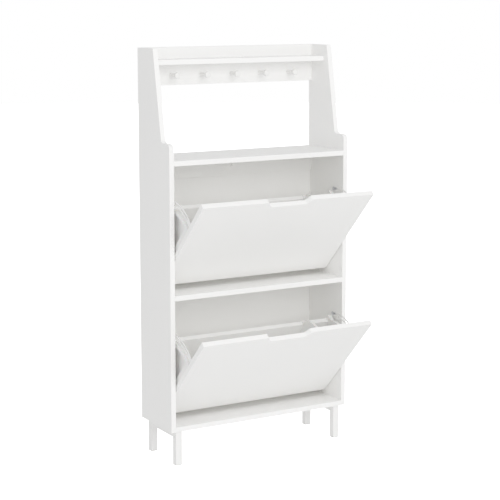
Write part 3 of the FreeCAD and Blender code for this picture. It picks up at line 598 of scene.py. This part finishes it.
class Shell:
    """Closed surfaces gathered into one mesh."""

    def __init__(self) -> None:
        """Start with no surface."""
        self.points: list[Grid] = []
        self.quads: list[Indices] = []
        self.fans: list[Indices] = []
        self.count = 0

    def add_rings(self, rings: Rings) -> None:
        """Add a closed surface of rings, shut by a fan of triangles at both ends.

        Ring i is joined to ring i + 1, point j to point j + 1, and the last
        point to the first, so that rings running anticlockwise about their
        path, seen from its far end, give a surface that faces outwards.

        Args:
            rings: places, as (rings, points a ring, 3).
        """
        rows, columns = rings.shape[:2]
        index = np.arange(rows * columns).reshape(rows, columns) + self.count
        near, far = index[:-1], index[1:]
        side = np.stack([near, np.roll(near, -1, 1), np.roll(far, -1, 1), far], axis=-1)
        poles = np.stack([rings[0].mean(0), rings[-1].mean(0)])
        first, last = self.count + rows * columns, self.count + rows * columns + 1
        ends = [np.stack([np.roll(index[0], -1), index[0], np.full(columns, first)], -1),
                np.stack([index[-1], np.roll(index[-1], -1), np.full(columns, last)], -1)]
        self.points += [rings.reshape(-1, 3), poles]
        self.quads.append(side.reshape(-1, 4))
        self.fans += ends
        self.count += rows * columns + 2

    def build(self, name: str, finish: Finish, slot: Slot, body: str, sharp: float = 0.6
              ) -> bpy.types.Object:
        """Put the gathered surfaces into a mesh object that rides on a body.

        Args:
            name: the object's name.
            finish: what it wears.
            slot: the record's slot that the finish belongs to; not used.
            body: the frame body that it moves with.
            sharp: the angle, in radians, above which an edge stays crisp.

        Returns:
            The new object.
        """
        mesh = bpy.data.meshes.new(name)
        faces = np.concatenate(self.quads).tolist() + np.concatenate(self.fans).tolist()
        mesh.from_pydata(np.concatenate(self.points).tolist(), [], faces)
        mesh.materials.append(finish.material())
        mesh.validate()
        mesh.polygons.foreach_set("use_smooth", np.ones(len(mesh.polygons), bool))
        mesh.set_sharp_from_angle(angle=sharp)
        piece = put(name, mesh)
        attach(piece, body)
        return piece


def full_turn(facets: int) -> Grid:
    """The angles of a ring's points, evenly spaced and in radians."""
    return np.linspace(0, 2 * np.pi, facets, endpoint=False)


def turned(radii: Grid, heights: Grid, facets: int) -> tuple[Grid, Grid, Grid]:
    """Spread a turned piece's outline round its axis.

    Args:
        radii: each ring's distance from the axis.
        heights: each ring's height along it.
        facets: points a ring.

    Returns:
        Radius, height and angle at every point, each as (rings, facets).
    """
    radius, height, angle = np.broadcast_arrays(radii[:, None], heights[:, None],
                                                full_turn(facets)[None])
    return radius, height, angle


@dataclass(frozen=True)
class Axis:
    """A place and a direction that a turned piece is built along."""

    origin: Grid
    along: Grid

    def carry(self, radius: Grid, height: Grid, angle: Grid) -> Grid:
        """Places from cylinder coordinates about this axis.

        A point is the origin plus height along the axis plus radius turned by
        angle, measured from a fixed cross direction.

        Args:
            radius: distance from the axis.
            height: distance along it.
            angle: turn about it, in radians.

        Returns:
            The places, with a last axis of three.
        """
        helper = UP if abs(self.along[2]) < STEEP else RIGHT
        cross = np.cross(self.along, helper)
        cross /= np.linalg.norm(cross)
        third = np.cross(self.along, cross)
        radial = np.cos(angle)[..., None] * cross + np.sin(angle)[..., None] * third
        return self.origin + height[..., None] * self.along + radius[..., None] * radial


def cross_recess(radius: Grid, angle: Grid, reach: float, width: float, depth: float) -> Grid:
    """How deep a cross-shaped driver recess is at each place of a head.

    The recess is the union of two bars; its depth falls from full at the
    centre to nothing over the last third of its reach and over its side walls.

    Args:
        radius: distance from the head's centre.
        angle: turn about the centre.
        reach: half of a bar's length.
        width: half of a bar's width.
        depth: depth at the centre.

    Returns:
        Depth, in metres, never negative.
    """
    end_fall, side_fall = reach * 0.35, width * 0.3
    across, up = radius * np.cos(angle), radius * np.sin(angle)
    bars = [(np.abs(across), np.abs(up)), (np.abs(up), np.abs(across))]
    levels = [np.clip((reach - long) / end_fall, 0, 1)
              * np.clip((width - short) / side_fall + 0.5, 0, 1) for long, short in bars]
    return depth * np.maximum(*levels)


@dataclass(frozen=True)
class PanHeadScrew:
    """A chipboard screw: domed head with a cross recess, threaded shank, pointed tip.

    The rim's outline gives shares of the head's radius and of its height.  The
    recess's reach and half width are shares of the head's radius, and its
    depth is a share of the head's height.
    """

    head_radius: float = 0.004
    head_height: float = 0.0024
    rim_outline: tuple[Range, ...] = ((0.9, 0.0), (1.0, 0.08), (1.0, 0.45), (0.97, 0.62))
    dome_from: float = 0.92
    dome_to: float = 0.02
    dome_fall: float = 0.3
    dome_rings: int = 22
    recess_reach: float = 0.62
    recess_half_width: float = 0.13
    recess_depth: float = 0.75
    head_facets: int = 64
    shank_radius: float = 0.002
    core_share: float = 0.68
    pitch: float = 0.0016
    rings_a_pitch: int = 5
    ridge_steepness: float = 3.2
    tip: float = 0.003
    tip_share: float = 0.03
    shank_facets: int = 16

    def head(self, at: Axis) -> Rings:
        """The head: rings up its rim, over the dome and into the recess.

        The dome's height falls with the square of the radius from the full
        head height to seven tenths of it at the rim.

        Args:
            at: the middle of the head's underside, looking away from the shank.

        Returns:
            The head's rings.
        """
        rim = np.array(self.rim_outline)
        shares = np.linspace(self.dome_from, self.dome_to, self.dome_rings)
        dome = 1.0 - self.dome_fall * shares ** 2
        radius, height, angle = turned(self.head_radius * np.concatenate([rim[:, 0], shares]),
                                       self.head_height * np.concatenate([rim[:, 1], dome]),
                                       self.head_facets)
        sunk = cross_recess(radius, angle, self.head_radius * self.recess_reach,
                            self.head_radius * self.recess_half_width,
                            self.head_height * self.recess_depth)
        return at.carry(radius, height - sunk, angle)

    def shank(self, at: Axis, length: float) -> Rings:
        """The shank: a helical ridge that swells and fades once a pitch.

        The radius at a height is the core plus the ridge, whose share is a
        triangle wave of height over pitch less the turn, and both shrink to a
        point over the tip.

        Args:
            at: the middle of the head's underside, looking away from the shank.
            length: the shank's length.

        Returns:
            The shank's rings.
        """
        stations = int(length / self.pitch * self.rings_a_pitch)
        heights = -np.linspace(length, 0.0, stations)
        height, angle = np.broadcast_arrays(heights[:, None], full_turn(self.shank_facets)[None])
        phase = (height / self.pitch - angle / (2 * np.pi)) % 1.0
        ridge = np.clip(1.0 - np.abs(phase - 0.5) * self.ridge_steepness, 0, 1)
        core = self.shank_radius * self.core_share
        radius = core + (self.shank_radius - core) * ridge
        taper = (height + length) / self.tip + self.tip_share
        return at.carry(radius * np.clip(taper, self.tip_share, 1.0), height, angle)

    def draw(self, shell: Shell, at: Axis, length: float) -> None:
        """Add a screw whose head stands on at, pointing along it, and whose shank hangs below."""
        shell.add_rings(self.shank(at, length))
        shell.add_rings(self.head(at))


@dataclass(frozen=True)
class CamLock:
    """A die-cast cam: a short drum with a rim groove, an arrow mark and a cross recess.

    Places on its face, and the reach and half width of the recess, are shares
    of its radius.
    """

    radius: float = 0.0075
    depth: float = 0.012
    edge_break: float = 0.0004
    edge_share: float = 0.97
    face_from: float = 0.95
    face_to: float = 0.02
    face_rings: int = 30
    facets: int = 72
    groove_at: float = 0.86
    groove_half_width: float = 0.04
    groove_depth: float = 0.0004
    arrow_from: float = 0.55
    arrow_to: float = 0.78
    arrow_point: float = 0.8
    arrow_spread: float = 1.6
    arrow_depth: float = 0.0005
    recess_reach: float = 0.5
    recess_half_width: float = 0.12
    recess_depth: float = 0.003
    recess_turn: float = math.pi / 4

    def draw(self, shell: Shell, at: Axis) -> None:
        """Add a cam.

        The face is flat but for a ring groove, the cross, and an arrow: a
        wedge about angle nought whose half-angle shrinks as the radius grows.

        Args:
            shell: the mesh that it joins.
            at: the middle of the cam's face, looking out of the board.
        """
        wall = [-self.depth, -self.depth * 0.5, -self.edge_break, 0.0]
        face = np.linspace(self.face_from, self.face_to, self.face_rings)
        shares = np.concatenate([[1.0, 1.0, 1.0, self.edge_share], face])
        heights = np.concatenate([wall, np.zeros(self.face_rings)])
        share, height, angle = turned(shares, heights, self.facets)
        off_groove = np.abs(share - self.groove_at) / self.groove_half_width
        groove = self.groove_depth * np.clip(1.0 - off_groove, 0, 1)
        off_arrow = np.abs((angle + np.pi) % (2 * np.pi) - np.pi)
        arrow = self.arrow_depth * ((share > self.arrow_from) & (share < self.arrow_to)
                                    & (off_arrow < (self.arrow_point - share) * self.arrow_spread))
        cross = cross_recess(share * self.radius, angle + self.recess_turn,
                             self.radius * self.recess_reach,
                             self.radius * self.recess_half_width, self.recess_depth)
        on_face = share < (self.face_from + self.edge_share) / 2
        sunk = np.where(on_face, np.maximum(np.maximum(groove, arrow), cross), 0.0)
        shell.add_rings(at.carry(share * self.radius, height - sunk, angle))


@dataclass(frozen=True)
class ShoulderStud:
    """A stay's stud: shank in the panel, spacer, neck through the slot and a domed head.

    The head's outline, over its dome and into its dimple, gives shares of its
    radius and of its thickness.
    """

    shank_radius: float = 0.003
    head_radius: float = 0.0055
    tip_share: float = 0.8
    tip_break: float = 0.0006
    spacer_share: float = 0.93
    spacer_break: float = 0.0004
    head_outline: tuple[Range, ...] = (
        (0.9, 0.0), (1.0, 0.18), (1.0, 0.4), (0.93, 0.66), (0.76, 0.86), (0.5, 0.97),
        (0.36, 1.0), (0.3, 0.9), (0.24, 0.55), (0.03, 0.42))
    facets: int = 48

    def draw(self, shell: Shell, at: Axis, spacer: float, neck: float, head: float,
             bite: float) -> None:
        """Add a stud that starts inside a panel and looks along its axis.

        Args:
            shell: the mesh that it joins.
            at: the panel's inner face at the stud, pointing away from the panel.
            spacer: how far the spacer stands off the panel.
            neck: where the head starts.
            head: the head's thickness.
            bite: how deep the shank stands in the panel.
        """
        wide, thin = self.head_radius, self.shank_radius
        outline = [(thin * self.tip_share, -bite), (thin, -bite + self.tip_break), (thin, 0.0),
                   (wide, 0.0), (wide, spacer - self.spacer_break),
                   (wide * self.spacer_share, spacer), (thin, spacer), (thin, neck)]
        outline += [(wide * out, neck + head * rise) for out, rise in self.head_outline]
        radii, heights = np.array(outline).T
        shell.add_rings(at.carry(*turned(radii, heights, self.facets)))


# ---------------------------------------------------------------------------
# Islands: the separate solids of one frame piece
# ---------------------------------------------------------------------------
def islands(node: bpy.types.Object) -> list[Grid]:
    """The places of each separate solid in a frame piece.

    Points that share a place are one point.  Every point starts with its own
    number, and each edge hands the smaller number to its other end until none
    changes, so that a solid's points end with the same number.

    Args:
        node: the frame piece.

    Returns:
        One array of places for each solid.
    """
    mesh = node.data
    places = np.empty(len(mesh.vertices) * 3)
    mesh.vertices.foreach_get("co", places)
    merged, back = np.unique(np.round(places.reshape(-1, 3), SAME_PLACE_DECIMALS), axis=0,
                             return_inverse=True)
    pairs = np.empty(len(mesh.edges) * 2, np.int64)
    mesh.edges.foreach_get("vertices", pairs)
    first, second = back.reshape(-1)[pairs.reshape(-1, 2)].T
    label = np.arange(len(merged))
    while True:
        low = np.minimum(label[first], label[second])
        spread = label.copy()
        np.minimum.at(spread, first, low)
        np.minimum.at(spread, second, low)
        if np.array_equal(spread, label):
            break
        label = spread
    return [merged[label == value] for value in np.unique(label)]


def wide_end(points: Grid, along: Grid) -> tuple[Axis, float]:
    """Where a headed pin's head starts, which way it looks, and how long the shank is.

    The head is at the end where the points stand furthest off the axis.

    Args:
        points: the pin's places.
        along: a direction along the pin, either way round.

    Returns:
        The head's underside with the direction away from the shank, and the shank's length.
    """
    along = along / np.linalg.norm(along)
    height = points @ along
    middle = points - height[:, None] * along
    centre = (middle.min(0) + middle.max(0)) / 2
    off = np.linalg.norm(middle - centre, axis=1)
    head = height[off > off.max() * HEAD_SHARE]
    low, high = height.min(), height.max()
    if head.mean() > (low + high) / 2:
        return Axis(centre + head.min() * along, along), float(head.min() - low)
    return Axis(centre + head.max() * along, -along), float(high - head.max())


# ---------------------------------------------------------------------------
# Sub-assemblies
# ---------------------------------------------------------------------------
@dataclass
class Dressing:
    """The frame with every piece of it in its finish."""

    nodes: dict[str, bpy.types.Object]
    palette: Palette

    def dress(self) -> None:
        """Give each frame piece the finish of its slot."""
        for name, node in self.nodes.items():
            slot = Slot(node.data.materials[0].name.split(".")[0])
            finish = self.palette.finish_of(name, slot)
            for index in range(len(node.data.materials)):
                node.data.materials[index] = finish.material()
            log.info("dressed %s in %s", name, finish.name)


@dataclass
class ScrewSets:
    """Recessed, threaded screws in the places of the frame's plain ones."""

    nodes: dict[str, bpy.types.Object]
    palette: Palette
    open_angle: float
    screw: PanHeadScrew = field(default_factory=PanHeadScrew)

    def directions(self) -> dict[str, tuple[str, Grid]]:
        """List the sets of screws.

        Returns:
            Each set's body and the direction that its screws run along.
        """
        flap = np.array([0.0, math.cos(self.open_angle), math.sin(self.open_angle)])
        found = {"leg_frame_screws": ("cabinet", UP), "hook_screws": ("cabinet", REAR)}
        for name in BINS:
            for kind, along in (("plate", flap), ("stay", flap), ("board", RIGHT)):
                found[f"{name}_bin_{kind}_screws"] = (f"{name}_bin", along)
        return found

    def build(self) -> None:
        """Draw every set and let it stand for its frame piece."""
        for node, (body, along) in self.directions().items():
            shell = Shell()
            for points in islands(self.nodes[node]):
                at, length = wide_end(points, along)
                self.screw.draw(shell, at, length)
            piece = shell.build(f"{node}_threaded", self.palette.by_slot[Slot.SCREW],
                                Slot.SCREW, body)
            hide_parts(node)
            log.info("built %s", piece.name)


@dataclass
class CarcassFittings:
    """Cam locks with their driver faces, and the stays' domed studs."""

    nodes: dict[str, bpy.types.Object]
    palette: Palette
    cam: CamLock = field(default_factory=CamLock)
    cam_sharp: float = 0.35
    stud: ShoulderStud = field(default_factory=ShoulderStud)
    stud_sharp: float = 0.5
    stud_bite: float = 0.010
    spacer: float = 0.0035
    neck: float = 0.0065
    head: float = 0.0022

    def build_cams(self) -> None:
        """Cams let into the boards' undersides look down, the others look to the rear."""
        shell = Shell()
        for points in islands(self.nodes["cam_locks"]):
            low, high = points.min(0), points.max(0)
            middle = (low + high) / 2
            if high[2] - low[2] < high[1] - low[1]:
                at = Axis(np.array([middle[0], middle[1], low[2]]), -UP)
            else:
                at = Axis(np.array([middle[0], high[1], middle[2]]), REAR)
            self.cam.draw(shell, at)
        piece = shell.build("cam_lock_drums", self.palette.by_slot[Slot.CAM],
                            Slot.CAM, "cabinet", self.cam_sharp)
        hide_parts("cam_locks")
        log.info("built %s", piece.name)

    def build_studs(self) -> None:
        """Each stud stands on its side panel's inner face and looks inwards."""
        shell = Shell()
        for points in islands(self.nodes["stay_studs"]):
            low, high = points.min(0), points.max(0)
            middle = (low + high) / 2
            side = 1.0 if middle[0] > 0 else -1.0
            buried = high[0] if side > 0 else low[0]
            face = np.array([buried - side * self.stud_bite, middle[1], middle[2]])
            self.stud.draw(shell, Axis(face, -side * RIGHT), self.spacer, self.neck, self.head,
                           self.stud_bite)
        piece = shell.build("stay_stud_heads", self.palette.by_slot[Slot.ZINC_STEEL],
                            Slot.ZINC_STEEL, "cabinet", self.stud_sharp)
        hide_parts("stay_studs")
        log.info("built %s", piece.name)


# ---------------------------------------------------------------------------
# Studio
# ---------------------------------------------------------------------------
def heading(turn: float, dip: float) -> Vector:
    """The direction to the rear, turned to the right and dipped by two angles in radians."""
    level = math.cos(dip)
    return Vector((math.sin(turn) * level, math.cos(turn) * level, -math.sin(dip)))


def looking(place: Vector, forward: Vector) -> Matrix:
    """The placing of a lamp or a camera that stands at a place and looks forward."""
    turn = forward.to_track_quat("-Z", "Y").to_matrix().to_4x4()
    return Matrix.Translation(place) @ turn


@dataclass(frozen=True)
class SoftBox:
    """A square soft lamp in front of the cabinet that looks at its middle.

    Its turn is counted to the left from straight ahead and its rise from the
    level, both in degrees.
    """

    name: str
    turn: float
    rise: float
    power: float
    size: float = 3.0
    away: float = 5.5
    aim: Triple = (0.0, 0.0, 0.6)

    def build(self) -> None:
        """Stand the lamp away from its aim."""
        data = bpy.data.lights.new(self.name, "AREA")
        data.shape = "SQUARE"
        data.size = self.size
        data.energy = self.power
        forward = heading(math.radians(self.turn), math.radians(self.rise))
        put(self.name, data).matrix_world = looking(Vector(self.aim) - forward * self.away,
                                                    forward)


@dataclass
class Studio:
    """Pale floor, white surround, a soft lamp and the camera."""

    camera_at: Triple = (-2.1803, -3.6925, 1.3607)
    camera_turn: float = math.radians(30.213)
    camera_dip: float = math.radians(8.968)
    lens: float = 106.76
    sensor: float = 36.0
    shift_up: float = -0.05
    clip_near: float = 0.1
    clip_far: float = 60.0
    surround: float = 0.74
    bounces: int = 24
    floor_reach: float = 14.0
    floor_rings: int = 28
    floor_facets: int = 96
    floor_dark: Triple = (0.93, 0.93, 0.93)
    floor_pale: Triple = (0.95, 0.95, 0.95)
    lamp: SoftBox = SoftBox("front_soft_box", turn=8.0, rise=20.0, power=66.0)

    def build_camera(self) -> None:
        """A long lens, a little above the cabinet, turned to its left front."""
        data = bpy.data.cameras.new("camera")
        data.lens = self.lens
        data.sensor_width = self.sensor
        data.shift_y = self.shift_up
        data.clip_start, data.clip_end = self.clip_near, self.clip_far
        camera = put("camera", data)
        camera.matrix_world = looking(Vector(self.camera_at),
                                      heading(self.camera_turn, self.camera_dip))
        bpy.context.scene.camera = camera

    def build_surround(self) -> None:
        """An even surround, plain white where it is looked at and softer as a light."""
        world = bpy.data.worlds.new("surround")
        world.use_nodes = True
        tree = world.node_tree
        back = tree.nodes["Background"]
        back.inputs["Color"].default_value = (1.0, 1.0, 1.0, 1.0)
        rays = tree.nodes.new("ShaderNodeLightPath")
        strength = tree.nodes.new("ShaderNodeMapRange")
        strength.inputs["To Min"].default_value = self.surround
        strength.inputs["To Max"].default_value = 1.0
        tree.links.new(rays.outputs["Is Camera Ray"], strength.inputs["Value"])
        tree.links.new(strength.outputs["Result"], back.inputs["Strength"])
        bpy.context.scene.world = world

    def floor_mesh(self) -> bpy.types.Mesh:
        """Lay the floor out on circles about the origin, all at height nought.

        Returns:
            A round sheet that faces up.
        """
        radii = np.concatenate([[1.0 * MM], np.linspace(0.5, self.floor_reach, self.floor_rings)])
        radius, height, angle = turned(radii, np.zeros_like(radii), self.floor_facets)
        points = np.stack([radius * np.cos(angle), radius * np.sin(angle), height], -1)
        rows, columns = radius.shape
        index = np.arange(rows * columns).reshape(rows, columns)
        near, far = index[:-1], index[1:]
        faces = np.stack([near, far, np.roll(far, -1, 1), np.roll(near, -1, 1)], -1)
        mesh = bpy.data.meshes.new("floor")
        mesh.from_pydata(points.reshape(-1, 3).tolist(), [], faces.reshape(-1, 4).tolist())
        return mesh

    def build_floor(self) -> None:
        """A wide round floor of pale matt vinyl, plain white where it is looked at."""
        mesh = self.floor_mesh()
        sheet = ShaderSheet("studio_floor")
        tone = sheet.span(sheet.noise(sheet.place(), scale=3.0, detail=3.0))
        sheet.paint(sheet.blend(tone, self.floor_dark, self.floor_pale))
        sheet.gloss(Roughness=0.9, Specular_IOR_Level=0.1)
        sheet.shader.inputs["Emission Color"].default_value = (1.0, 1.0, 1.0, 1.0)
        rays = sheet.add("LightPath")
        sheet.link(rays.outputs["Is Camera Ray"], sheet.shader.inputs["Emission Strength"])
        mesh.materials.append(sheet.material)
        floor = put("floor", mesh)

    def build(self) -> None:
        """Build everything around the cabinet, and let light bounce deep into its bays."""
        scene = bpy.context.scene
        scene.view_settings.view_transform = "Standard"
        scene.cycles.max_bounces = scene.cycles.diffuse_bounces = self.bounces
        self.build_camera()
        self.build_surround()
        self.build_floor()
        self.lamp.build()
        log.info("built the studio")


def main() -> None:
    """Dress the frame, build the fittings and the studio."""
    logging.basicConfig(level=logging.INFO, format="%(name)s: %(message)s")
    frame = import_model()
    open_angle = math.radians(max(joint["range_deg"][1] for joint in frame["joints"]))
    palette = Palette(open_angle)
    nodes = frame["nodes"]
    Dressing(nodes, palette).dress()
    ScrewSets(nodes, palette, open_angle).build()
    fittings = CarcassFittings(nodes, palette)
    fittings.build_cams()
    fittings.build_studs()
    Studio().build()


if __name__ == "__main__":
    main()
